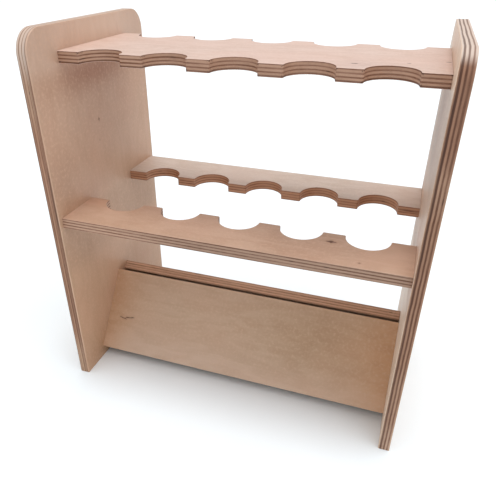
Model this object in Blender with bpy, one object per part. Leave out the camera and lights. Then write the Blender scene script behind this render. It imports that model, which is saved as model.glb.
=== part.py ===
"""Free-standing tool and bottle rack in 10 mm birch plywood.

Two rounded side panels carry a notched top shelf, two notched middle shelves
that face each other across an open well, and two sloping base boards that meet
in a ridge under the well.  A slim bottle or tube stands on a sloping board,
leans through a notch of the middle shelf and rests against a notch of the top
shelf.  Countersunk wood screws through the panels hold every board end.

Metres, +Z up.  X is the rack's width, Y runs from front (-) to rear (+), and
the origin is on the floor, under the middle of the rack.
"""

import math

import bmesh
import bpy
from mathutils import Matrix

# ---------------------------------------------------------------- dimensions
PLY = 0.0100                 # plywood thickness, every board
GAP = 0.0003                 # clearance between pieces that touch
ARRIS = 0.0006               # eased edge of every sawn rim

INNER_WIDTH = 0.3100         # between the side panels
PANEL_DEPTH = 0.1880
PANEL_HEIGHT = 0.3460
PANEL_CORNER_R = 0.0200      # the two top corners; the bottom ones are square

NOTCH_R = 0.0190             # round notch, 38 mm wide
NOTCH_CENTRE_DEPTH = 0.0008  # arc centre, measured in from the shelf's edge
NOTCH_PITCH = 0.0580
NOTCH_COUNT = 5
TOOTH_FILLET = 0.0012        # rounded corners of the teeth between notches
NOTCH_SEGMENTS = 16
FILLET_SEGMENTS = 3

TOP_SHELF_Z = 0.3255         # upper face
TOP_SHELF_HALF = 0.0560      # half depth, notches front and rear

MID_SHELF_Z = 0.1860         # upper face
MID_SHELF_INNER = 0.0388     # notched edge, from the middle of the rack
MID_SHELF_OUTER = 0.0898     # straight edge

BASE_TILT = math.radians(54.5)   # slope from the floor
BASE_WIDTH = 0.0891              # along the slope
BASE_RIDGE_GAP = 0.0040          # open line between the two inner top corners
BASE_RIDGE_Z = 0.0851            # highest corner of the sloping boards

SCREW_R = 0.00175            # 3.5 mm countersunk wood screw
SCREW_LENGTH = 0.0280
SCREW_HEAD_R = 0.0035
SCREW_HEAD_LIP = 0.0003
SCREW_SUNK = 0.0001          # head face below the panel's face
SCREW_TIP = 0.0045
SCREW_SIDES = 12
RECESS_WIDTH = 0.0010        # cross recess in the head
RECESS_SPAN = 0.0038
RECESS_DEPTH = 0.0014
TOP_SCREW_Y = 0.0300
MID_SCREW_Y = (0.0520, 0.0780)
BASE_SCREW_ALONG = 0.0260    # from the board's middle, along the slope

BOARD_LENGTH = INNER_WIDTH - 2 * GAP
PANEL_X = INNER_WIDTH / 2 + PLY / 2
PANEL_FACE = INNER_WIDTH / 2 + PLY


# ------------------------------------------------------------------- helpers
def clear_scene():
    for ob in list(bpy.data.objects):
        bpy.data.objects.remove(ob, do_unlink=True)


def material(name, colour, roughness, metallic=0.0):
    mat = bpy.data.materials.new(name)
    mat.use_nodes = True
    bsdf = mat.node_tree.nodes["Principled BSDF"]
    bsdf.inputs["Base Color"].default_value = (*colour, 1.0)
    bsdf.inputs["Roughness"].default_value = roughness
    bsdf.inputs["Metallic"].default_value = metallic
    mat.diffuse_color = (*colour, 1.0)
    mat.roughness = roughness
    mat.metallic = metallic
    return mat


def add_object(name, bm, parent=None, mat=None, location=(0, 0, 0), rotation=(0, 0, 0)):
    mesh = bpy.data.meshes.new(name)
    bmesh.ops.recalc_face_normals(bm, faces=bm.faces)
    bm.to_mesh(mesh)
    bm.free()
    if mat is not None:
        mesh.materials.append(mat)
    return place(name, mesh, parent, location, rotation)


def place(name, mesh, parent=None, location=(0, 0, 0), rotation=(0, 0, 0)):
    ob = bpy.data.objects.new(name, mesh)
    bpy.context.scene.collection.objects.link(ob)
    ob.parent = parent
    ob.location = location
    ob.rotation_euler = rotation
    return ob


def arc(cx, cy, r, a0, a1, segments):
    """Points of an arc, both ends included."""
    pts = []
    for i in range(segments + 1):
        a = a0 + (a1 - a0) * i / segments
        pts.append((cx + r * math.cos(a), cy + r * math.sin(a)))
    return pts


def extrude_outline(outline, thickness, unease=None):
    """Solid plate: outline in local XY, thickness centred on local Z.

    Rim edges get a full bevel weight, except the ones `unease` picks out.
    """
    bm = bmesh.new()
    verts = [bm.verts.new((x, y, -thickness / 2)) for x, y in outline]
    face = bm.faces.new(verts)
    up = bmesh.ops.extrude_face_region(bm, geom=[face])
    moved = [g for g in up["geom"] if isinstance(g, bmesh.types.BMVert)]
    bmesh.ops.translate(bm, verts=moved, vec=(0, 0, thickness))
    weight = bm.edges.layers.float.new("bevel_weight_edge")
    for e in bm.edges:
        a, b = (v.co for v in e.verts)
        rim = abs(a.z - b.z) < 1e-7
        if rim and not (unease and unease(a, b)):
            e[weight] = 1.0
    return bm


def ease_edges(ob, width=ARRIS):
    mod = ob.modifiers.new("eased_edges", "BEVEL")
    mod.limit_method = "WEIGHT"
    mod.offset_type = "OFFSET"
    mod.width = width
    mod.segments = 1
    mod.use_clamp_overlap = False


def cut(ob, cutter):
    mod = ob.modifiers.new(cutter.name, "BOOLEAN")
    mod.operation = "DIFFERENCE"
    mod.solver = "EXACT"
    mod.object = cutter


def make_guide(ob):
    ob.hide_render = True
    ob.display_type = "WIRE"


def smooth(mesh, degrees=30):
    mesh.shade_smooth()
    mesh.set_sharp_from_angle(angle=math.radians(degrees))


def turned(bm, profile, sides, matrix):
    """Closed round solid about local Z from (radius, z) pairs; a radius of 0
    closes the end in a point."""
    rings = []
    for r, z in profile:
        if r == 0:
            rings.append([bm.verts.new(matrix @ Matrix.Translation((0, 0, z)).to_translation())])
        else:
            ring = []
            for i in range(sides):
                a = 2 * math.pi * (i + 0.5) / sides
                p = Matrix.Translation((r * math.cos(a), r * math.sin(a), z)).to_translation()
                ring.append(bm.verts.new(matrix @ p))
            rings.append(ring)
    for lower, upper in zip(rings, rings[1:]):
        for i in range(sides):
            j = (i + 1) % sides
            if len(lower) == 1:
                bm.faces.new((lower[0], upper[j], upper[i]))
            elif len(upper) == 1:
                bm.faces.new((lower[i], lower[j], upper[0]))
            else:
                bm.faces.new((lower[i], lower[j], upper[j], upper[i]))
    if len(rings[0]) > 1:
        bm.faces.new(list(reversed(rings[0])))
    if len(rings[-1]) > 1:
        bm.faces.new(rings[-1])


# ------------------------------------------------------------------ outlines
def notched_edge(edge_y, outward):
    """Edge of a shelf from -X to +X with the row of round notches.

    `outward` is +1 when the edge faces +Y and -1 when it faces -Y.
    """
    r, c, f = NOTCH_R, NOTCH_CENTRE_DEPTH, TOOTH_FILLET
    fx = math.sqrt((r + f) ** 2 - (f - c) ** 2)
    tangent = math.atan2(f - c, fx)
    pts = [(-BOARD_LENGTH / 2, 0.0)]
    for k in range(NOTCH_COUNT):
        x0 = (k - (NOTCH_COUNT - 1) / 2) * NOTCH_PITCH
        # depth grows away from the edge, so angles below are in (x, depth)
        left = arc(x0 - fx, f, f, -math.pi / 2, -tangent, FILLET_SEGMENTS)
        bowl = arc(x0, c, r, math.pi - tangent, tangent, NOTCH_SEGMENTS)
        right = arc(x0 + fx, f, f, math.pi + tangent, 3 * math.pi / 2, FILLET_SEGMENTS)
        pts += left + bowl[1:-1] + right
    pts.append((BOARD_LENGTH / 2, 0.0))
    return [(x, edge_y - outward * depth) for x, depth in pts]


def plain_edge(edge_y):
    return [(-BOARD_LENGTH / 2, edge_y), (BOARD_LENGTH / 2, edge_y)]


def is_board_end(a, b):
    half = BOARD_LENGTH / 2
    return abs(abs(a.x) - half) < 1e-6 and abs(a.x - b.x) < 1e-6


def panel_outline():
    """Side panel seen from the side: local X is depth, local Y is height."""
    h, r = PANEL_DEPTH / 2, PANEL_CORNER_R
    pts = [(-h, 0.0), (h, 0.0)]
    pts += arc(h - r, PANEL_HEIGHT - r, r, 0, math.pi / 2, 10)
    pts += arc(-h + r, PANEL_HEIGHT - r, r, math.pi / 2, math.pi, 10)
    return pts


# ------------------------------------------------------------ screw positions
def base_centre(side):
    """Middle of a sloping board; side is -1 for the front one, +1 for the rear."""
    s, c = math.sin(BASE_TILT), math.cos(BASE_TILT)
    y = BASE_RIDGE_GAP / 2 + PLY / 2 * s + BASE_WIDTH / 2 * c
    z = BASE_RIDGE_Z - PLY / 2 * c - BASE_WIDTH / 2 * s
    return side * y, z


def screw_table():
    """(board, position word) -> (y, z) of the screw's axis."""
    table = {}
    z = TOP_SHELF_Z - PLY / 2
    table["top_shelf", "front"] = (-TOP_SCREW_Y, z)
    table["top_shelf", "rear"] = (TOP_SCREW_Y, z)
    z = MID_SHELF_Z - PLY / 2
    for side, word in ((-1, "front"), (1, "rear")):
        for y, place_word in zip(MID_SCREW_Y, ("inner", "outer")):
            table["middle_shelf_" + word, place_word] = (side * y, z)
    for side, word in ((-1, "front"), (1, "rear")):
        y0, z0 = base_centre(side)
        for along, place_word in ((BASE_SCREW_ALONG, "upper"), (-BASE_SCREW_ALONG, "lower")):
            table["base_board_" + word, place_word] = (
                y0 - side * along * math.cos(BASE_TILT),
                z0 + along * math.sin(BASE_TILT),
            )
    return table


def screw_matrix(side, y, z):
    """Frame of a screw: local +Z points out of the panel, origin on its head."""
    x = side * (PANEL_FACE - SCREW_SUNK)
    return Matrix.Translation((x, y, z)) @ Matrix.Rotation(side * math.pi / 2, 4, "Y")


# -------------------------------------------------------------------- screws
def screw_profile():
    cone = SCREW_HEAD_R - SCREW_R
    return [
        (0, -SCREW_LENGTH),
        (SCREW_R, -SCREW_LENGTH + SCREW_TIP),
        (SCREW_R, -SCREW_HEAD_LIP - cone),
        (SCREW_HEAD_R, -SCREW_HEAD_LIP),
        (SCREW_HEAD_R, 0.0),
    ]


def panel_hole_profile():
    """Clearance hole and countersink, in the screw's own frame."""
    cone_gap = GAP * math.sqrt(2)
    wide = SCREW_HEAD_R + cone_gap
    narrow = SCREW_R + 0.0004
    top = -SCREW_HEAD_LIP
    return [
        (narrow, -PLY - 0.001),
        (narrow, top - (wide - narrow)),
        (wide, top),
        (wide, 0.001),
    ]


def pilot_profile():
    """Blind hole in a board's end, in the screw's own frame."""
    r = SCREW_R + 0.00035
    return [(r, -SCREW_LENGTH - 0.0004), (r, -PLY + SCREW_SUNK + 0.0005)]


def build_screw_mesh(mat):
    bm = bmesh.new()
    turned(bm, screw_profile(), SCREW_SIDES, Matrix.Identity(4))
    body = add_object("screw_blank", bm, mat=mat)
    bm = bmesh.new()
    for w, d in ((RECESS_WIDTH, RECESS_SPAN), (RECESS_SPAN, RECESS_WIDTH)):
        box = bmesh.ops.create_cube(bm, size=1.0)
        scale = Matrix.Diagonal((w, d, 2 * RECESS_DEPTH, 1.0))
        bmesh.ops.transform(bm, matrix=scale, verts=box["verts"])
    recess = add_object("screw_recess", bm)
    make_guide(recess)
    mod = body.modifiers.new("cross_recess", "BOOLEAN")
    mod.operation = "DIFFERENCE"
    mod.solver = "EXACT"
    mod.use_self = True
    mod.object = recess
    graph = bpy.context.evaluated_depsgraph_get()
    mesh = bpy.data.meshes.new_from_object(body.evaluated_get(graph))
    mesh.name = "countersunk_screw"
    bpy.data.objects.remove(body, do_unlink=True)
    bpy.data.objects.remove(recess, do_unlink=True)
    smooth(mesh)
    return mesh


def hole_cutter(name, parent, profile, holes):
    """One cutter holding a separate round solid for each (side, y, z)."""
    bm = bmesh.new()
    for side, y, z in holes:
        turned(bm, profile, SCREW_SIDES, screw_matrix(side, y, z))
    ob = add_object(name, bm, parent)
    make_guide(ob)
    return ob


# -------------------------------------------------------------------- boards
def build_panels(rack, mats, screws):
    for side, word in ((-1, "left"), (1, "right")):
        bm = extrude_outline(panel_outline(), PLY)
        name = "side_panel_" + word
        # local XY plate stood up in the YZ plane
        ob = add_object(name, bm, rack, mats[name],
                        location=(side * PANEL_X, 0, 0),
                        rotation=(math.pi / 2, 0, math.pi / 2))
        ease_edges(ob)
        cutter = hole_cutter("holes_" + name, rack, panel_hole_profile(),
                             [(side, y, z) for y, z in screws.values()])
        cut(ob, cutter)
        smooth(ob.data)


def board_pilots(name, rack, screws):
    holes = [(side, y, z) for (board, _), (y, z) in screws.items()
             if board == name for side in (-1, 1)]
    return hole_cutter("pilots_" + name, rack, pilot_profile(), holes)


def build_board(name, outline, rack, mats, screws, location, rotation=(0, 0, 0)):
    bm = extrude_outline(outline, PLY, unease=is_board_end)
    ob = add_object(name, bm, rack, mats[name], location, rotation)
    ease_edges(ob)
    cut(ob, board_pilots(name, rack, screws))
    smooth(ob.data)
    return ob


def build_shelves(rack, mats, screws):
    front = notched_edge(-TOP_SHELF_HALF, -1)
    rear = notched_edge(TOP_SHELF_HALF, 1)
    build_board("top_shelf", front + rear[::-1], rack, mats, screws,
                location=(0, 0, TOP_SHELF_Z - PLY / 2))

    # both middle shelves are modelled about their own mid line, notches on
    # local +Y; the rear one is the front one turned half way round
    mid = (MID_SHELF_INNER + MID_SHELF_OUTER) / 2
    half = (MID_SHELF_OUTER - MID_SHELF_INNER) / 2
    outline = plain_edge(-half) + notched_edge(half, 1)[::-1]
    for side, word, turn in ((-1, "front", 0.0), (1, "rear", math.pi)):
        build_board("middle_shelf_" + word, outline, rack, mats, screws,
                    location=(0, side * mid, MID_SHELF_Z - PLY / 2),
                    rotation=(0, 0, turn))


def build_base(rack, mats, screws):
    outline = plain_edge(-BASE_WIDTH / 2) + plain_edge(BASE_WIDTH / 2)[::-1]
    for side, word in ((-1, "front"), (1, "rear")):
        y, z = base_centre(side)
        build_board("base_board_" + word, outline, rack, mats, screws,
                    location=(0, y, z), rotation=(-side * BASE_TILT, 0, 0))


def build_screws(rack, mat, screws):
    mesh = build_screw_mesh(mat)
    for (board, word), (y, z) in screws.items():
        for side, side_word in ((-1, "left"), (1, "right")):
            place("_".join(("screw", board, word, side_word)), mesh, rack,
                  location=(side * (PANEL_FACE - SCREW_SUNK), y, z),
                  rotation=(0, side * math.pi / 2, 0))


def main():
    clear_scene()
    mats = {
        "side_panel_left": material("side_panel_left", (0.52, 0.38, 0.28), 0.55),
        "side_panel_right": material("side_panel_right", (0.56, 0.41, 0.30), 0.55),
        "top_shelf": material("top_shelf", (0.72, 0.54, 0.43), 0.55),
        "middle_shelf_front": material("middle_shelf_front", (0.58, 0.39, 0.28), 0.55),
        "middle_shelf_rear": material("middle_shelf_rear", (0.55, 0.36, 0.25), 0.55),
        "base_board_front": material("base_board_front", (0.50, 0.34, 0.22), 0.55),
        "base_board_rear": material("base_board_rear", (0.50, 0.34, 0.22), 0.55),
    }
    zinc = material("zinc_screw", (0.62, 0.63, 0.65), 0.35, 1.0)

    rack = bpy.data.objects.new("rack", None)
    bpy.context.scene.collection.objects.link(rack)
    screws = screw_table()
    build_panels(rack, mats, screws)
    build_shelves(rack, mats, screws)
    build_base(rack, mats, screws)
    build_screws(rack, zinc, screws)


main()
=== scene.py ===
"""Looks for the plywood rack: finer boards, plywood materials, screws, light and camera."""
import math

import bmesh
import bpy
from mathutils import Matrix, Vector


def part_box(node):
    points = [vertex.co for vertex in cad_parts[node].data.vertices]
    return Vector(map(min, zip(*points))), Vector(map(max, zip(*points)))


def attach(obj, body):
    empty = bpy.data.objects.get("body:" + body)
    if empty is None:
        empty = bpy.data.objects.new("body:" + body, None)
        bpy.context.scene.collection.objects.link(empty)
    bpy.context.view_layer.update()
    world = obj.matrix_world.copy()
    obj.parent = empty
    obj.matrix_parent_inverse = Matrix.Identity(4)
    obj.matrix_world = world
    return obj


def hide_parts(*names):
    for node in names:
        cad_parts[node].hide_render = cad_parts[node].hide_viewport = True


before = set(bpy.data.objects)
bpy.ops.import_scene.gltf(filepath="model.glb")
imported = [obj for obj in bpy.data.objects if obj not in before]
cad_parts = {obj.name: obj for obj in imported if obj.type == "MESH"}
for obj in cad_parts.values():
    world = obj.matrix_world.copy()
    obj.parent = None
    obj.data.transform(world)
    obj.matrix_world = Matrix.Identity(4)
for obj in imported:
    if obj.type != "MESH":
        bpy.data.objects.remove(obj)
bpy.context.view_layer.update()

# ------------------------------------------------------------ design numbers
PLY = 0.0100
GAP = 0.0003
BUTT_GAP = 0.00008             # board end to panel, where they look tight
ARRIS = 0.0004
PANEL_CORNER_R = 0.0200
NOTCH_R = 0.0190
NOTCH_CENTRE_DEPTH = 0.0008
NOTCH_PITCH = 0.0580
NOTCH_COUNT = 5
TOOTH_FILLET = 0.0012
BASE_TILT = math.radians(54.5)
BASE_WIDTH = 0.0891
SCREW_R = 0.00175
SCREW_CORE = 0.00118
SCREW_LENGTH = 0.0280
SCREW_HEAD_R = 0.0035
SCREW_HEAD_LIP = 0.0003
SCREW_SUNK = 0.0001


# ------------------------------------------------------------- mesh building
def new_object(name, mesh):
    ob = bpy.data.objects.new(name, mesh)
    bpy.context.scene.collection.objects.link(ob)
    return ob


def evaluated_mesh(ob, name):
    graph = bpy.context.evaluated_depsgraph_get()
    return bpy.data.meshes.new_from_object(ob.evaluated_get(graph), depsgraph=graph)


def arc(cx, cy, r, a0, a1, segments):
    return [(cx + r * math.cos(a0 + (a1 - a0) * i / segments),
             cy + r * math.sin(a0 + (a1 - a0) * i / segments))
            for i in range(segments + 1)]


def notched_edge(half_x, edge_y, outward):
    r, c, f = NOTCH_R, NOTCH_CENTRE_DEPTH, TOOTH_FILLET
    fx = math.sqrt((r + f) ** 2 - (f - c) ** 2)
    tangent = math.atan2(f - c, fx)
    pts = [(-half_x, 0.0)]
    for k in range(NOTCH_COUNT):
        x0 = (k - (NOTCH_COUNT - 1) / 2) * NOTCH_PITCH
        left = arc(x0 - fx, f, f, -math.pi / 2, -tangent, 6)
        bowl = arc(x0, c, r, math.pi - tangent, tangent, 56)
        right = arc(x0 + fx, f, f, math.pi + tangent, 3 * math.pi / 2, 6)
        pts += left + bowl[1:-1] + right
    pts.append((half_x, 0.0))
    return [(x, edge_y - outward * d) for x, d in pts]


def plain_edge(half_x, edge_y):
    return [(-half_x, edge_y), (half_x, edge_y)]


def plate(outline, thickness, unease=None):
    """Sawn plate in its own (u, v, w) coordinates, w being its thickness."""
    bm = bmesh.new()
    face = bm.faces.new([bm.verts.new((x, y, -thickness / 2)) for x, y in outline])
    up = bmesh.ops.extrude_face_region(bm, geom=[face])
    moved = [g for g in up["geom"] if isinstance(g, bmesh.types.BMVert)]
    bmesh.ops.translate(bm, verts=moved, vec=(0, 0, thickness))
    bmesh.ops.recalc_face_normals(bm, faces=bm.faces)
    weight = bm.edges.layers.float.new("bevel_weight_edge")
    for e in bm.edges:
        a, b = (v.co for v in e.verts)
        if abs(a.z - b.z) < 1e-7 and not (unease and unease(a, b)):
            e[weight] = 1.0
    mesh = bpy.data.meshes.new("plate")
    bm.to_mesh(mesh)
    bm.free()
    return mesh


def ring_solid(bm, profile, sides, matrix):
    """Closed round solid about local Z from (radius, z) pairs."""
    rings = []
    for r, z in profile:
        count = 1 if r == 0 else sides
        rings.append([bm.verts.new(matrix @ Vector((r * math.cos(2 * math.pi * (i + .5) / sides),
                                                    r * math.sin(2 * math.pi * (i + .5) / sides), z)))
                      for i in range(count)])
    for lo, up in zip(rings, rings[1:]):
        for i in range(sides):
            j = (i + 1) % sides
            if len(lo) == 1:
                bm.faces.new((lo[0], up[j], up[i]))
            elif len(up) == 1:
                bm.faces.new((lo[i], lo[j], up[0]))
            else:
                bm.faces.new((lo[i], lo[j], up[j], up[i]))
    if len(rings[0]) > 1:
        bm.faces.new(rings[0][::-1])
    if len(rings[-1]) > 1:
        bm.faces.new(rings[-1])


def cutter(profile, sides, matrices):
    bm = bmesh.new()
    for m in matrices:
        ring_solid(bm, profile, sides, m)
    bmesh.ops.recalc_face_normals(bm, faces=bm.faces)
    mesh = bpy.data.meshes.new("cutter")
    bm.to_mesh(mesh)
    bm.free()
    return new_object("cutter", mesh)


def shade_board(mesh):
    """Flat faces, sawn walls and rounded arrises each shade smoothly on their own."""
    bm = bmesh.new()
    bm.from_mesh(mesh)

    def kind(f):
        n = abs(f.normal.z)
        return 0 if n > 0.9995 else 2 if n < 0.01 else 1

    for f in bm.faces:
        f.smooth = True
    for e in bm.edges:
        if len(e.link_faces) == 2:
            a, b = e.link_faces
            e.smooth = kind(a) == kind(b) and a.normal.angle(b.normal, 0) < math.radians(34)
        else:
            e.smooth = False
    bm.to_mesh(mesh)
    bm.free()


def board(name, mesh, to_world, mat, cut_profile=None, cut_sides=24, cuts=()):
    """Ease the rim, drill the holes, store the board's own coordinates on every
    point and set the finished mesh down where its CAD node is."""
    work = new_object("work", mesh)
    bev = work.modifiers.new("ease", "BEVEL")
    bev.limit_method = "WEIGHT"
    bev.offset_type = "OFFSET"
    bev.width = ARRIS
    bev.segments = 5
    bev.use_clamp_overlap = False
    tool = None
    if cuts:
        back = to_world.inverted()
        tool = cutter(cut_profile, cut_sides, [back @ m for m in cuts])
        cut = work.modifiers.new("holes", "BOOLEAN")
        cut.operation = "DIFFERENCE"
        cut.solver = "EXACT"
        cut.object = tool
    done = evaluated_mesh(work, name)
    bpy.data.objects.remove(work, do_unlink=True)
    if tool is not None:
        bpy.data.objects.remove(tool, do_unlink=True)
    shade_board(done)
    layer = done.attributes.new("board", "FLOAT_VECTOR", "POINT")
    for v, item in zip(done.vertices, layer.data):
        item.vector = v.co
    done.transform(to_world)
    done.materials.clear()
    done.materials.append(mat)
    ob = new_object("look_" + name, done)
    done.name = ob.name
    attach(ob, "root")
    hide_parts(name)
    return ob


# ------------------------------------------------------------- node shorthand
class Tree:
    def __init__(self, name):
        self.mat = bpy.data.materials.new(name)
        self.mat.use_nodes = True
        self.nt = self.mat.node_tree
        self.bsdf = self.nt.nodes["Principled BSDF"]

    def put(self, socket, value):
        if isinstance(value, bpy.types.NodeSocket):
            self.nt.links.new(value, socket)
        elif value is not None:
            socket.default_value = value

    def math(self, op, a, b=None, c=None, clamp=False):
        n = self.nt.nodes.new("ShaderNodeMath")
        n.operation, n.use_clamp = op, clamp
        for s, v in zip(n.inputs, (a, b, c)):
            self.put(s, v)
        return n.outputs[0]

    def add(self, a, b):
        return self.math("ADD", a, b)

    def sub(self, a, b):
        return self.math("SUBTRACT", a, b)

    def mul(self, a, b):
        return self.math("MULTIPLY", a, b)

    def step(self, x, lo, hi):
        """Smooth step from 0 at lo to 1 at hi."""
        n = self.nt.nodes.new("ShaderNodeMapRange")
        n.interpolation_type = "SMOOTHSTEP"
        rising = hi > lo
        self.put(n.inputs[0], x)
        n.inputs[1].default_value, n.inputs[2].default_value = (lo, hi) if rising else (hi, lo)
        n.inputs[3].default_value, n.inputs[4].default_value = (0.0, 1.0) if rising else (1.0, 0.0)
        return n.outputs[0]

    def vec(self, x, y, z):
        n = self.nt.nodes.new("ShaderNodeCombineXYZ")
        for s, v in zip(n.inputs, (x, y, z)):
            self.put(s, v)
        return n.outputs[0]

    def noise(self, vector, scale=1.0, detail=2.0, rough=0.5, distortion=0.0):
        n = self.nt.nodes.new("ShaderNodeTexNoise")
        self.put(n.inputs["Vector"], vector)
        n.inputs["Scale"].default_value = scale
        n.inputs["Detail"].default_value = detail
        n.inputs["Roughness"].default_value = rough
        n.inputs["Distortion"].default_value = distortion
        return n.outputs[0]

    def mix(self, fac, a, b, blend="MIX"):
        n = self.nt.nodes.new("ShaderNodeMix")
        n.data_type, n.blend_type = "RGBA", blend
        n.clamp_factor = True
        self.put(n.inputs[0], fac)
        for s, v in ((n.inputs[6], a), (n.inputs[7], b)):
            self.put(s, (*v, 1.0) if isinstance(v, tuple) else v)
        return n.outputs[2]

    def attribute(self, name):
        n = self.nt.nodes.new("ShaderNodeAttribute")
        n.attribute_name = name
        return n.outputs["Vector"]

    def split(self, vector, scale):
        n = self.nt.nodes.new("ShaderNodeVectorMath")
        n.operation = "SCALE"
        self.put(n.inputs[0], vector)
        n.inputs["Scale"].default_value = scale
        s = self.nt.nodes.new("ShaderNodeSeparateXYZ")
        self.nt.links.new(n.outputs[0], s.inputs[0])
        return s.outputs

    def bump(self, height, distance, strength):
        n = self.nt.nodes.new("ShaderNodeBump")
        n.inputs["Strength"].default_value = strength
        n.inputs["Distance"].default_value = distance
        self.put(n.inputs["Height"], height)
        return n.outputs[0]


# ------------------------------------------------------------------- plywood
def plywood(name, face, figure, light, dark, dark_faces, seed, grain="u",
            knots=(), flaws=(), flecks=(), washes=(), painted_light_shade_ramps=(), rim_painted_light_shade_ramps=(), streaks=(), painted_top_light=None,
            up=1, skin=(0.28, 0.28), phase=(0.0, 0.0), depth=1.0,
            contrast=1.0, wander=0.30, band=(0.50, 0.14), torn=False):
    """Seven-ply birch. Everything is laid out in millimetres of the board's own
    (u, v, w); the face veneers' grain runs along u, or along v.

    washes (u, v, half length, half width, rgb) multiply soft patches of the face
    that looks toward up: mostly painted shade and painted light, a few the
    veneer's own tone. ramps (from, to, rgb) paint light and shade on it along
    the grain, rim_painted_light_shade_ramps do the same for the rim, streaks (u, w, length, width,
    depth) darken a line of the rim and bleach (from, to, amount) pales the rim
    toward its top as painted light. skin is how far each face veneer wraps onto
    the rim, phase (at 0, per mm) shifts the plies and depth is the strength of
    the faces' figure."""
    t = Tree(name)
    U, V, W = t.split(t.attribute("board"), 1000.0)
    if grain == "v":
        U, V = V, U

    def shade(c, f):
        return tuple(x * f for x in c)

    # the two faces are cut from different stretches of veneer
    upper = t.step(t.mul(W, up), -1.0, 1.0)
    F = t.add(U, t.mul(t.sub(1.0, upper), 1370.0))

    # knots push the growth lines aside and darken the veneer
    Vd, core, rings, halo = V, None, None, None
    for ku, kv, ka, kb, strength in knots:
        du = t.math("DIVIDE", t.sub(F, ku), ka)
        dv = t.math("DIVIDE", t.sub(V, kv), kb)
        r2 = t.add(t.mul(du, du), t.mul(dv, dv))
        r = t.math("SQRT", r2)
        diamond = t.add(t.math("ABSOLUTE", du), t.math("ABSOLUTE", dv))
        wob = t.noise(t.vec(t.mul(F, 0.8), t.mul(V, 1.3), seed + 31.0), detail=3.0)
        edge = t.add(diamond, t.mul(t.sub(wob, 0.5), 0.8))
        inner = t.mul(t.step(edge, 1.25, 0.55), strength)
        rim = t.mul(t.step(edge, 2.3, 0.9), 0.35 * strength)
        near = t.math("POWER", 2.718, t.mul(r2, -0.045))
        Vd = t.sub(Vd, t.mul(t.mul(dv, kb * 0.8), near))
        ring = t.mul(t.math("SINE", t.mul(r, 4.2)), t.mul(near, strength))
        core = inner if core is None else t.math("MAXIMUM", core, inner)
        halo = rim if halo is None else t.math("MAXIMUM", halo, rim)
        rings = ring if rings is None else t.add(rings, ring)

    # rotary-cut face veneer: soft wandering growth contours, fibres, short
    # pores, and broad drifts of tone between pink and straw
    drift = t.noise(t.vec(t.mul(F, 0.0065), t.mul(Vd, 0.020), seed), detail=3.0, rough=0.55)
    contour = t.math("SINE", t.add(t.mul(drift, 58.0), t.mul(Vd, 0.10)))
    contour = t.add(0.5, t.mul(contour, 0.5))
    growth = t.noise(t.vec(t.mul(F, 0.008), t.mul(t.add(Vd, t.mul(drift, 22.0)), 0.55), seed + 3.0),
                     detail=3.0, rough=0.6)
    fibre = t.noise(t.vec(t.mul(F, 0.075), t.mul(Vd, 2.3), seed + 5.0), detail=3.0, rough=0.65)
    pores = t.noise(t.vec(t.mul(F, 0.55), t.mul(Vd, 8.0), seed + 7.0), detail=1.0)
    mottle = t.noise(t.vec(t.mul(F, 0.030), t.mul(V, 0.045), seed + 11.0), detail=3.0, rough=0.6)
    blush = t.noise(t.vec(t.mul(F, 0.012), t.mul(V, 0.016), seed + 17.0), detail=2.0)
    pore = t.step(pores, 0.60, 0.76)
    tone = t.add(t.add(t.mul(contour, 0.16), t.mul(growth, 0.30)),
                 t.add(t.mul(fibre, 0.24), t.mul(mottle, 0.44)))
    tone = t.step(tone, 0.34, 0.80)
    if rings is not None:
        tone = t.add(tone, t.mul(rings, 0.30))
    veneer = t.mix(t.mul(tone, depth), face, figure)
    veneer = t.mix(t.mul(t.step(blush, 0.40, 0.66), 0.35), veneer,
                   (face[0] * 1.02, face[1] * 0.93, face[2] * 0.90))
    veneer = t.mix(t.mul(pore, 0.20), veneer, shade(figure, 0.60))
    # Painted shade and painted light: each wash multiplies a soft patch of the upward face darker or lighter; a few
    # only shift the veneer's tone.
    for wu, wv, au, av, rgb in washes:
        du, dv = t.mul(t.sub(U, wu), 1.0 / au), t.mul(t.sub(V, wv), 1.0 / av)
        fade = t.math("POWER", 2.718, t.mul(t.add(t.mul(du, du), t.mul(dv, dv)), -1.0))
        veneer = t.mix(t.mul(fade, upper), veneer, rgb, "MULTIPLY")
    # Painted shade and painted light: each ramp darkens or lightens the upward face from one place along the grain
    # onwards.
    for lo, hi, rgb in painted_light_shade_ramps:
        veneer = t.mix(t.mul(t.step(U, lo, hi), upper), veneer, rgb, "MULTIPLY")
    if core is not None:
        veneer = t.mix(halo, veneer, (0.30, 0.135, 0.062))
        veneer = t.mix(core, veneer, (0.105, 0.034, 0.012))
    for fu, fv, length, slope, bend, depth in flaws:
        # a short open check in the veneer, running along the grain
        along = t.sub(F, fu)
        curve = t.add(t.mul(along, slope), t.mul(t.mul(along, along), bend))
        wave = t.mul(t.sub(t.noise(t.vec(t.mul(F, 0.35), fv, seed), detail=2.0), 0.5), 1.2)
        off = t.math("ABSOLUTE", t.sub(t.sub(V, fv), t.add(curve, wave)))
        away = t.math("ABSOLUTE", along)
        span = t.step(away, length / 2, length / 2 - 3.0)
        veneer = t.mix(t.mul(t.mul(t.step(off, 2.6, 0.3), span), 0.30 * depth), veneer, shade(figure, 0.62))
        veneer = t.mix(t.mul(t.mul(t.step(off, 0.80, 0.30), span), depth), veneer, (0.115, 0.048, 0.024))
    for pu, pv, length, depth in flecks:
        # pin knots and short bark streaks
        a = t.math("DIVIDE", t.sub(F, pu), length)
        c = t.math("DIVIDE", t.sub(V, pv), 0.75 if length > 4.0 else max(0.75, 0.48 * length))
        r2 = t.add(t.mul(a, a), t.mul(c, c))
        veneer = t.mix(t.mul(t.step(r2, 1.3, 0.2), depth), veneer, (0.095, 0.036, 0.018))

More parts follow.
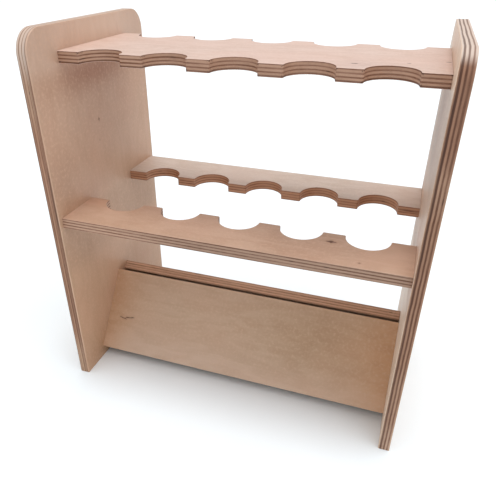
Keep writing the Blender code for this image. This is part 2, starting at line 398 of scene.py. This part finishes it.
    # sawn rim: seven plies with thin glue lines; the plies wander a little
    sway = t.noise(t.vec(t.mul(U, 0.030), t.mul(V, 0.030), seed + 13.0), detail=3.0, rough=0.6)
    Wn = t.add(t.mul(t.add(W, PLY * 500.0), 7.0 / (PLY * 1000.0)), t.mul(t.sub(sway, 0.5), wander))
    Wn = t.add(Wn, t.add(phase[0], t.mul(U, phase[1])))
    dist = t.math("PINGPONG", t.sub(Wn, 0.5 if dark_faces else 1.5), 1.0)
    index = t.math("FLOOR", Wn)
    width = t.noise(t.vec(t.mul(U, 0.028), t.mul(V, 0.028), t.mul(index, 5.7)), detail=2.0)
    band = t.step(t.add(dist, t.mul(t.sub(width, 0.5), 0.50)), *band)
    seam = t.step(t.math("ABSOLUTE", t.sub(dist, 0.5)), 0.11, 0.02)
    own = t.noise(t.vec(t.mul(U, 0.007), t.mul(V, 0.007), t.add(t.mul(index, 11.3), seed)), detail=0.0)
    along = t.noise(t.vec(t.mul(U, 0.13), t.mul(V, 0.13), t.mul(index, 7.3)), detail=3.0, rough=0.65)
    lines = t.noise(t.vec(t.mul(U, 0.07), t.mul(V, 0.07), t.mul(W, 3.4)), detail=3.0, rough=0.6)
    speck = t.noise(t.vec(t.mul(U, 3.2), t.mul(V, 3.2), t.mul(W, 3.2)), detail=2.0)
    gapped = t.noise(t.vec(t.mul(U, 0.085), t.mul(V, 0.085), t.add(t.mul(index, 3.1), seed)), detail=1.0)
    void = t.mul(t.step(gapped, 0.68, 0.74), t.step(dist, 0.42, 0.15))
    shadeness = t.add(t.mul(band, 0.80 * contrast), t.mul(t.sub(own, 0.5), 0.60))
    shadeness = t.add(shadeness, t.mul(t.sub(along, 0.5), 0.55))
    shadeness = t.add(shadeness, t.mul(t.sub(lines, 0.5), 0.50))
    shadeness = t.add(shadeness, t.mul(t.sub(speck, 0.5), t.add(0.15, t.mul(band, 0.30))))
    shadeness = t.add(shadeness, 0.10)
    sawn = t.mix(shadeness, light, dark)
    sawn = t.mix(t.mul(seam, 0.30 * contrast), sawn, shade(dark, 0.55))
    sawn = t.mix(t.mul(void, 0.60), sawn, shade(dark, 0.28))
    for su, sw, length, wide, strength in streaks:
        span = t.step(t.math("ABSOLUTE", t.sub(U, su)), length / 2, length / 2 - 12.0)
        off = t.math("ABSOLUTE", t.add(t.sub(W, sw), t.mul(t.sub(sway, 0.5), wander * 1.3)))
        sawn = t.mix(t.mul(t.mul(span, t.step(off, wide, wide * 0.35)), strength), sawn, shade(dark, 0.42))
    # Painted shade and painted light on the rim, darker or lighter from one place along it onwards.
    for lo, hi, rgb in rim_painted_light_shade_ramps:
        sawn = t.mix(t.step(U, lo, hi), sawn, rgb, "MULTIPLY")
    # Painted light: the rim pales toward the top of the board, where light falls on it.
    if painted_top_light:
        keep = t.sub(1.0, t.mul(band, 0.75))
        sawn = t.mix(t.mul(t.mul(t.step(U, painted_top_light[0], painted_top_light[1]), painted_top_light[2]), keep), sawn, (0.76, 0.62, 0.53))
    if torn:
        # torn fibres at the outer plies beside each tooth corner
        beside = t.math("PINGPONG", U, NOTCH_PITCH * 500.0)
        spot = t.step(t.math("ABSOLUTE", t.sub(beside, 19.4)), 1.9, 0.5)
        outer = t.step(t.math("ABSOLUTE", W), 2.7, 3.5)
        rag = t.noise(t.vec(t.mul(U, 0.9), t.mul(V, 0.9), t.mul(W, 1.6)), detail=2.0)
        sawn = t.mix(t.mul(t.mul(spot, outer), t.step(rag, 0.50, 0.60)), sawn, shade(dark, 0.35))

    rag = t.noise(t.vec(t.mul(U, 0.35), t.mul(V, 0.35), seed + 23.0), detail=3.0)
    ragged = t.mul(t.sub(rag, 0.5), 0.30)
    half = PLY * 500.0
    level = t.add(t.math("ABSOLUTE", W), ragged)
    on_face = t.math("MAXIMUM", t.step(t.add(W, ragged), half - skin[0] - 0.12, half - skin[0] + 0.12),
                     t.step(t.sub(ragged, W), half - skin[1] - 0.12, half - skin[1] + 0.12))
    # The rounded arris lightens: partly real sanding wear, partly a painted highlight.
    worn_and_highlit = t.mul(t.step(level, half - 0.45, half - 0.20), t.step(level, half + 0.02, half - 0.10))
    colour = t.mix(on_face, sawn, veneer)
    colour = t.mix(t.mul(worn_and_highlit, 0.50), colour, tuple(min(0.9, x * 1.15) for x in face))
    t.put(t.bsdf.inputs["Base Color"], colour)

    rough_face = t.add(0.47, t.add(t.mul(t.sub(fibre, 0.5), 0.22), t.mul(t.sub(mottle, 0.5), 0.15)))
    rough_rim = t.add(0.70, t.mul(t.sub(speck, 0.5), 0.30))
    t.put(t.bsdf.inputs["Roughness"],
          t.add(t.mul(on_face, rough_face), t.mul(t.sub(1.0, on_face), rough_rim)))
    h_face = t.sub(t.add(t.mul(fibre, 0.6), t.mul(growth, 0.3)), t.mul(pore, 0.6))
    h_rim = t.sub(t.add(t.mul(speck, 0.9), t.mul(lines, 0.8)), t.add(t.mul(band, 0.8), t.mul(void, 1.5)))
    height = t.add(t.mul(on_face, h_face), t.mul(t.sub(1.0, on_face), h_rim))
    t.put(t.bsdf.inputs["Normal"], t.bump(height, 0.00011, 0.50))
    t.bsdf.inputs["Specular IOR Level"].default_value = 0.50
    return t.mat


def zinc(name):
    t = Tree(name)
    U, V, W = t.split(t.attribute("board"), 1000.0)
    turned = t.noise(t.vec(t.mul(U, 0.6), t.mul(V, 0.6), t.mul(W, 9.0)), detail=2.0)
    patina = t.noise(t.vec(t.mul(U, 1.4), t.mul(V, 1.4), t.mul(W, 1.4)), detail=3.0)
    t.put(t.bsdf.inputs["Base Color"], t.mix(t.step(patina, 0.35, 0.7), (0.66, 0.67, 0.69), (0.52, 0.52, 0.50)))
    t.put(t.bsdf.inputs["Roughness"], t.add(0.26, t.mul(turned, 0.22)))
    t.bsdf.inputs["Metallic"].default_value = 1.0
    t.put(t.bsdf.inputs["Normal"], t.bump(turned, 0.00003, 0.4))
    return t.mat


FACE = (0.620, 0.435, 0.318)
FIGURE = (0.545, 0.362, 0.250)
LIGHT = (0.580, 0.372, 0.262)
DARK = (0.200, 0.085, 0.042)


def tinted(c, r, g, b):
    return (c[0] * r, c[1] * g, c[2] * b)


def wood(name, dark_faces, seed, tint=(1, 1, 1), rim=(1, 1, 1), **more):
    return plywood(name, tinted(FACE, *tint), tinted(FIGURE, *tint), tinted(LIGHT, *rim),
                   tinted(DARK, *rim), dark_faces, seed, **more)


# -------------------------------------------------------------------- boards
def centre(node):
    lo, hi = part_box(node)
    return (lo + hi) / 2


def is_end(half):
    return lambda a, b: abs(abs(a.x) - half) < 1e-6 and abs(a.x - b.x) < 1e-6


screw_nodes = sorted(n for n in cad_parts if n.startswith("screw_"))


def screw_matrix(node):
    """Local +Z points out of the panel, the origin is on the head's face."""
    lo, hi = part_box(node)
    c = (lo + hi) / 2
    left = c.x < 0
    x = lo.x if left else hi.x
    return Matrix.Translation((x, c.y, c.z)) @ Matrix.Rotation(math.radians(-90 if left else 90), 4, "Y")


SCREWS = {n: screw_matrix(n) for n in screw_nodes}
cone_gap = GAP * math.sqrt(2)
PANEL_HOLE = [(SCREW_R + 0.0004, -PLY - 0.001),
              (SCREW_R + 0.0004, -SCREW_HEAD_LIP - (SCREW_HEAD_R + cone_gap - SCREW_R - 0.0004)),
              (SCREW_HEAD_R + cone_gap, -SCREW_HEAD_LIP),
              (SCREW_HEAD_R + cone_gap, 0.001)]
PILOT = [(SCREW_R + 0.00035, -SCREW_LENGTH - 0.0004), (SCREW_R + 0.00035, -PLY + SCREW_SUNK + 0.0005)]


def build_panels():
    looks = (("side_panel_left", 2.0, (0.99, 0.925, 0.86), (0.70, 0.58, 0.49),
              dict(contrast=0.85, wander=0.4, phase=(-0.37, 0.0), skin=(1.1, 0.1), depth=0.6,
                   knots=((256.0, -8.5, 2.2, 1.5, 0.7),), flecks=((236.0, -11.7, 1.5, 0.35), (334.0, 44.4, 4.5, 0.14)),
                   # Painted light and shade on the left panel: ramps and washes darken the face under the top shelf,
                   # under the middle shelves and at the foot and lighten it above the shelves;
                   # rim_painted_light_shade_ramps and bleach lighten the rim at the foot and toward the top.
                   painted_light_shade_ramps=((112.0, 140.0, (0.875, 0.865, 0.855)), (174.0, 188.0, (1.13, 1.14, 1.18)),
                          (196.0, 290.0, (0.90, 0.86, 0.84)), (300.0, 326.0, (1.13, 1.22, 1.34))),
                   washes=((301.0, -5.0, 14.0, 60.0, (0.76, 0.58, 0.47)), (6.0, 0.0, 30.0, 120.0, (0.80, 0.73, 0.62)),
                           (216.0, -82.0, 30.0, 30.0, (0.80, 0.77, 0.74)), (337.0, 15.0, 15.0, 55.0, (1.14, 1.25, 1.30)),
                           (10.0, -30.0, 16.0, 26.0, (0.88, 0.84, 0.77))),
                   rim_painted_light_shade_ramps=((62.0, 22.0, (1.35, 1.60, 1.75)), (186.0, 212.0, (1.11, 1.12, 1.17)),
                              (262.0, 290.0, (1.16, 1.33, 1.42))),
                   streaks=((173.0, -4.1, 400.0, 0.9, 0.45), (173.0, 2.1, 400.0, 0.8, 0.45), (205.0, 2.9, 66.0, 0.7, 0.6)),
                   painted_top_light=(300.0, 332.0, 0.60))),
             ("side_panel_right", 17.0, (0.99, 0.99, 0.98), (0.67, 0.565, 0.49),
              dict(contrast=1.05, wander=0.9, up=-1, skin=(0.15, 0.45), band=(0.62, 0.25),
                   # Painted light and shade on the right panel: ramps and washes lighten the lower face and the face
                   # above the top shelf and darken it under the top shelf; rim_painted_light_shade_ramps and bleach
                   # lighten the rim at the foot and the top and darken it just below the top.
                   painted_light_shade_ramps=((40.0, 110.0, (0.93, 0.93, 0.93)), (153.0, 138.0, (1.33, 1.55, 1.70)),
                          (170.0, 187.0, (1.15, 1.15, 1.15)), (200.0, 216.0, (0.90, 0.93, 0.95)),
                          (228.0, 245.0, (0.83, 0.80, 0.78)), (314.0, 325.0, (1.70, 1.85, 1.95))),
                   washes=((8.0, 0.0, 22.0, 120.0, (1.04, 1.04, 1.04)), (80.0, 30.0, 60.0, 75.0, (1.18, 1.28, 1.38)),
                           (284.0, 0.0, 38.0, 30.0, (0.84, 0.78, 0.74)), (298.0, 76.0, 42.0, 24.0, (1.12, 1.22, 1.32))),
                   rim_painted_light_shade_ramps=((110.0, 80.0, (1.15, 1.25, 1.33)), (40.0, 15.0, (1.25, 1.40, 1.55)),
                              (233.0, 250.0, (1.12, 1.20, 1.28)), (262.0, 285.0, (0.78, 0.68, 0.62))),
                   streaks=((173.0, -3.3, 400.0, 1.1, 0.55), (173.0, 0.1, 400.0, 0.8, 0.25), (260.0, -2.9, 130.0, 0.9, 0.4)),
                   painted_top_light=(336.0, 344.0, 0.85))))
    for name, seed, tint, rim, more in looks:
        lo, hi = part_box(name)
        h, height, r = (hi.y - lo.y) / 2, hi.z, PANEL_CORNER_R
        outline = [(-h, 0.0), (h, 0.0)]
        outline += arc(h - r, height - r, r, 0, math.pi / 2, 40)
        outline += arc(-h + r, height - r, r, math.pi / 2, math.pi, 40)
        c = centre(name)
        to_world = Matrix.Translation((c.x, 0, 0)) @ Matrix.Rotation(math.pi / 2, 4, "Z") @ Matrix.Rotation(math.pi / 2, 4, "X")
        side = "left" if c.x < 0 else "right"
        mat = wood("plywood_" + name, False, seed, tint, rim, grain="v", **more)
        board(name, plate(outline, PLY), to_world, mat,
              PANEL_HOLE, 48, [m for n, m in SCREWS.items() if n.endswith(side)])


def half_length(lo, hi):
    """Half the length of a board between the panels."""
    return (hi.x - lo.x) / 2 + GAP - BUTT_GAP


def build_shelves():
    name = "top_shelf"
    lo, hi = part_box(name)
    hx, hy = half_length(lo, hi), (hi.y - lo.y) / 2
    outline = notched_edge(hx, -hy, -1) + notched_edge(hx, hy, 1)[::-1]
    # The tint makes this a paler, cooler board, partly its own tone and partly a painted highlight on the lit top; the
    # wash makes one patch of the top darker.
    mat = wood("plywood_" + name, True, 41.0, (1.164, 1.223, 1.42), (0.87, 0.79, 0.76), contrast=1.0, torn=True,
               phase=(-0.15, 0.0), skin=(0.28, 0.12), washes=((97.0, -42.0, 22.0, 18.0, (0.90, 0.90, 0.92)),),
               streaks=((0.0, -3.9, 400.0, 1.1, 0.30),),
               flecks=((87.4, -37.5, 2.9, 1.0), (125.2, -25.2, 1.9, 0.9), (152.4, -11.8, 2.3, 1.0),
                       (32.6, -3.5, 6.0, 0.12), (51.4, -8.8, 8.0, 0.14)))
    board(name, plate(outline, PLY, is_end(hx)), Matrix.Translation(centre(name)), mat,
          PILOT, 16, [m for n, m in SCREWS.items() if name in n])
    for name, seed, turn, tint, rim, more in (
            # The tint makes this a darker board, partly its own tone and partly painted shade under the top shelf.
            # Painted light and shade: the ramp lightens the right end of the top, the rim ramp lightens the rim's left
            # end, and the washes darken the middle, lighten both ends and warm one patch at the left end.
            ("middle_shelf_front", 57.0, 0.0, (0.85, 0.79, 0.77), (0.74, 0.725, 0.72),
             dict(knots=((86.8, 10.0, 5.0, 2.5, 1.0), (113.7, -17.7, 1.5, 1.1, 0.7)), phase=(0.145, 0.0023),
                  contrast=1.0, skin=(0.20, 0.12), rim_painted_light_shade_ramps=((-20.0, -115.0, (1.32, 1.30, 1.29)),),
                  painted_light_shade_ramps=((112.0, 142.0, (1.11, 1.12, 1.13)),),
                  washes=((57.0, 0.0, 26.0, 60.0, (0.88, 0.86, 0.84)), (150.0, 0.0, 22.0, 60.0, (1.18, 1.22, 1.24)),
                          (-140.0, 0.0, 40.0, 60.0, (1.08, 1.10, 1.12)), (-140.0, 18.0, 28.0, 12.0, (1.05, 0.96, 0.92))))),
            # Painted light: the wash lightens the left end of the top.
            ("middle_shelf_rear", 71.0, math.pi, (1.005, 1.16, 1.35), (0.84, 0.65, 0.52),
             dict(contrast=0.7, skin=(0.20, 0.12), washes=((-145.0, 0.0, 20.0, 60.0, (1.14, 1.12, 1.10)),),
                  streaks=((-146.0, 0.5, 26.0, 0.6, 0.8), (87.0, 0.8, 30.0, 0.5, 0.6))))):
        lo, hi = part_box(name)
        hx, hy = half_length(lo, hi), (hi.y - lo.y) / 2
        outline = plain_edge(hx, -hy) + notched_edge(hx, hy, 1)[::-1]
        mat = wood("plywood_" + name, True, seed, tint, rim, **more)
        board(name, plate(outline, PLY, is_end(hx)),
              Matrix.Translation(centre(name)) @ Matrix.Rotation(turn, 4, "Z"), mat,
              PILOT, 16, [m for n, m in SCREWS.items() if name in n])


def build_base():
    for name, seed, side in (("base_board_front", 83.0, -1), ("base_board_rear", 97.0, 1)):
        lo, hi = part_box(name)
        hx = half_length(lo, hi)
        outline = plain_edge(hx, -BASE_WIDTH / 2) + plain_edge(hx, BASE_WIDTH / 2)[::-1]
        flaws_and_painted_light = {}
        if side < 0:
            # Beside the two real flaws, painted light and shade on the front base board: the washes warm both ends with
            # painted bounce light, lighten the lower edge, lay a painted highlight along the top arris and darken two
            # patches toward the right end.
            flaws_and_painted_light = dict(flaws=((-129.2, -7.2, 13.0, 0.16, 0.0, 1.0), (-137.0, -8.8, 11.0, -0.18, -0.010, 0.75)),
                         washes=((-158.0, 0.0, 26.0, 80.0, (1.04, 0.90, 0.76)), (158.0, 0.0, 30.0, 80.0, (1.10, 0.98, 0.83)),
                                 (0.0, -44.0, 400.0, 24.0, (1.11, 1.14, 1.22)), (62.0, 12.0, 48.0, 40.0, (0.92, 0.92, 0.90)),
                                 (118.0, 16.0, 85.0, 60.0, (0.92, 0.84, 0.74)),
                                 (0.0, 45.0, 400.0, 2.0, (1.15, 1.15, 1.15))))
        mat = wood("plywood_" + name, True, seed, (0.925, 0.925, 0.89), (1.27, 1.29, 1.27), contrast=0.7, **flaws_and_painted_light)
        board(name, plate(outline, PLY, is_end(hx)),
              Matrix.Translation(centre(name)) @ Matrix.Rotation(-side * BASE_TILT, 4, "X"), mat,
              PILOT, 16, [m for n, m in SCREWS.items() if name in n])


# -------------------------------------------------------------------- screws
def screw_mesh():
    """Countersunk wood screw with a rolled thread and a cross recess, about
    local Z with its head's face at z = 0."""
    sides, pitch, rings = 28, 0.0016, []
    cone = SCREW_HEAD_R - SCREW_R
    neck = -SCREW_HEAD_LIP - cone
    thread_top, thread_end = neck - 0.0045, -SCREW_LENGTH + 0.0050
    bm = bmesh.new()

    def ring(radius, z):
        return [bm.verts.new((radius(i) * math.cos(2 * math.pi * (i + .5) / sides),
                              radius(i) * math.sin(2 * math.pi * (i + .5) / sides), z)) for i in range(sides)]

    z = -SCREW_LENGTH + 0.0002
    step = pitch / 8
    while z < thread_top:
        core = SCREW_CORE if z > thread_end else SCREW_CORE * max(0.12, (z + SCREW_LENGTH) / (thread_end + SCREW_LENGTH))
        fade = min(1.0, (thread_top - z) / pitch) * min(1.0, (z + SCREW_LENGTH) / (thread_end + SCREW_LENGTH) + 0.1)

        def radius(i, z=z, core=core, fade=fade):
            phase = ((z / pitch) - (i + .5) / sides) % 1.0
            ridge = max(0.0, 1.0 - abs(phase - 0.5) * 3.4)
            return core + (SCREW_R - SCREW_CORE) * ridge * fade
        rings.append(ring(radius, z))
        z += step
    for r, zz in ((SCREW_CORE * 1.15, thread_top + 0.0003), (SCREW_CORE * 1.15, neck - 0.0006), (SCREW_R, neck),
                  (SCREW_HEAD_R, -SCREW_HEAD_LIP), (SCREW_HEAD_R, -0.00012), (SCREW_HEAD_R - 0.00012, 0.0)):
        rings.append(ring(lambda i, r=r: r, zz))
    tip = bm.verts.new((0, 0, -SCREW_LENGTH))
    for i in range(sides):
        bm.faces.new((tip, rings[0][(i + 1) % sides], rings[0][i]))
    for lo, up in zip(rings, rings[1:]):
        for i in range(sides):
            j = (i + 1) % sides
            bm.faces.new((lo[i], lo[j], up[j], up[i]))
    bm.faces.new(rings[-1])
    bmesh.ops.recalc_face_normals(bm, faces=bm.faces)
    mesh = bpy.data.meshes.new("screw")
    bm.to_mesh(mesh)
    bm.free()
    body = new_object("screw_work", mesh)

    # cross recess: two tapered wings
    bm = bmesh.new()
    for turn in (0, 90):
        top, low = [], []
        for sx, sy in ((-1, -1), (1, -1), (1, 1), (-1, 1)):
            rot = Matrix.Rotation(math.radians(turn + 22), 4, "Z")
            top.append(bm.verts.new(rot @ Vector((sx * 0.00195, sy * 0.00046, 0.0003))))
            low.append(bm.verts.new(rot @ Vector((sx * 0.00085, sy * 0.00030, -0.0016))))
        bm.faces.new(low[::-1])
        bm.faces.new(top)
        for i in range(4):
            j = (i + 1) % 4
            bm.faces.new((low[i], low[j], top[j], top[i]))
    bmesh.ops.recalc_face_normals(bm, faces=bm.faces)
    mesh = bpy.data.meshes.new("recess")
    bm.to_mesh(mesh)
    bm.free()
    tool = new_object("recess_work", mesh)
    cut = body.modifiers.new("recess", "BOOLEAN")
    cut.operation = "DIFFERENCE"
    cut.solver = "EXACT"
    cut.use_self = True
    cut.object = tool
    done = evaluated_mesh(body, "screw")
    for o in (body, tool):
        bpy.data.objects.remove(o, do_unlink=True)
    done.shade_smooth()
    done.set_sharp_from_angle(angle=math.radians(32))
    layer = done.attributes.new("board", "FLOAT_VECTOR", "POINT")
    for v, item in zip(done.vertices, layer.data):
        item.vector = v.co
    return done


def build_screws():
    base, mat = screw_mesh(), zinc("zinc_plated_steel")
    for k, (name, matrix) in enumerate(SCREWS.items()):
        mesh = base.copy()
        turn = Matrix.Rotation(math.radians((k * 137.5) % 360), 4, "Z")   # each driven home at its own angle
        mesh.transform(matrix @ turn)
        mesh.materials.clear()
        mesh.materials.append(mat)
        ob = new_object("look_" + name, mesh)
        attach(ob, "root")
        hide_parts(name)


build_panels()
build_shelves()
build_base()
build_screws()


# --------------------------------------------------------- floor, light, camera
def build_stage():
    bm = bmesh.new()
    bmesh.ops.create_grid(bm, x_segments=2, y_segments=2, size=12.0)
    mesh = bpy.data.meshes.new("floor")
    bm.to_mesh(mesh)
    bm.free()
    floor = new_object("floor", mesh)
    t = Tree("floor_paper")
    co = t.nt.nodes.new("ShaderNodeTexCoord").outputs["Object"]
    t.put(t.bsdf.inputs["Base Color"], t.mix(t.noise(co, 3.0, 2.0), (0.915, 0.968, 1.0), (0.895, 0.948, 0.98)))
    t.bsdf.inputs["Roughness"].default_value = 0.9
    t.bsdf.inputs["Specular IOR Level"].default_value = 0.1
    mesh.materials.append(t.mat)

    # white backdrop all round, only there for the camera to see
    bm = bmesh.new()
    bmesh.ops.create_uvsphere(bm, u_segments=64, v_segments=32, radius=11.5)
    mesh = bpy.data.meshes.new("backdrop")
    bm.to_mesh(mesh)
    bm.free()
    backdrop = new_object("backdrop", mesh)
    t = Tree("backdrop_white")
    t.bsdf.inputs["Base Color"].default_value = (0.0, 0.0, 0.0, 1.0)
    t.bsdf.inputs["Emission Color"].default_value = (1.0, 1.0, 1.0, 1.0)
    t.bsdf.inputs["Emission Strength"].default_value = 1.05
    mesh.materials.append(t.mat)
    for flag in ("visible_diffuse", "visible_glossy", "visible_transmission", "visible_volume_scatter", "visible_shadow"):
        setattr(backdrop, flag, False)

    world = bpy.data.worlds.new("studio")
    bpy.context.scene.world = world
    world.use_nodes = True
    world.node_tree.nodes["Background"].inputs["Color"].default_value = (0.97, 0.985, 1.0, 1.0)
    world.node_tree.nodes["Background"].inputs["Strength"].default_value = 0.62

    for name, energy, spread, way in (("softbox_above", 1.20, 24, (0.0, 0.0, 1.0)),
                                      ("softbox_right", 0.82, 60, (0.7, -0.1, 1.2)),
                                      ("softbox_left", 0.16, 50, (-1.0, -0.3, 0.4))):
        sun = bpy.data.lights.new(name, "SUN")
        sun.energy = energy
        sun.angle = math.radians(spread)
        ob = bpy.data.objects.new(name, sun)
        ob.rotation_mode = "QUATERNION"
        ob.rotation_quaternion = Vector(way).to_track_quat("Z", "Y")
        bpy.context.scene.collection.objects.link(ob)

    bpy.context.scene.view_settings.view_transform = "Standard"


def build_camera():
    cam = bpy.data.cameras.new("camera")
    cam.sensor_fit, cam.sensor_width = "HORIZONTAL", 36.0
    cam.lens = 37.587
    cam.shift_x, cam.shift_y = 0.03256, 0.04738
    cam.clip_start, cam.clip_end = 0.01, 100.0
    ob = bpy.data.objects.new("camera", cam)
    ob.location = (0.134838, -0.442886, 0.396766)
    ob.rotation_euler = tuple(math.radians(a) for a in (58.68689, 0.23761, 19.26610))
    bpy.context.scene.collection.objects.link(ob)
    bpy.context.scene.camera = ob


build_stage()
build_camera()
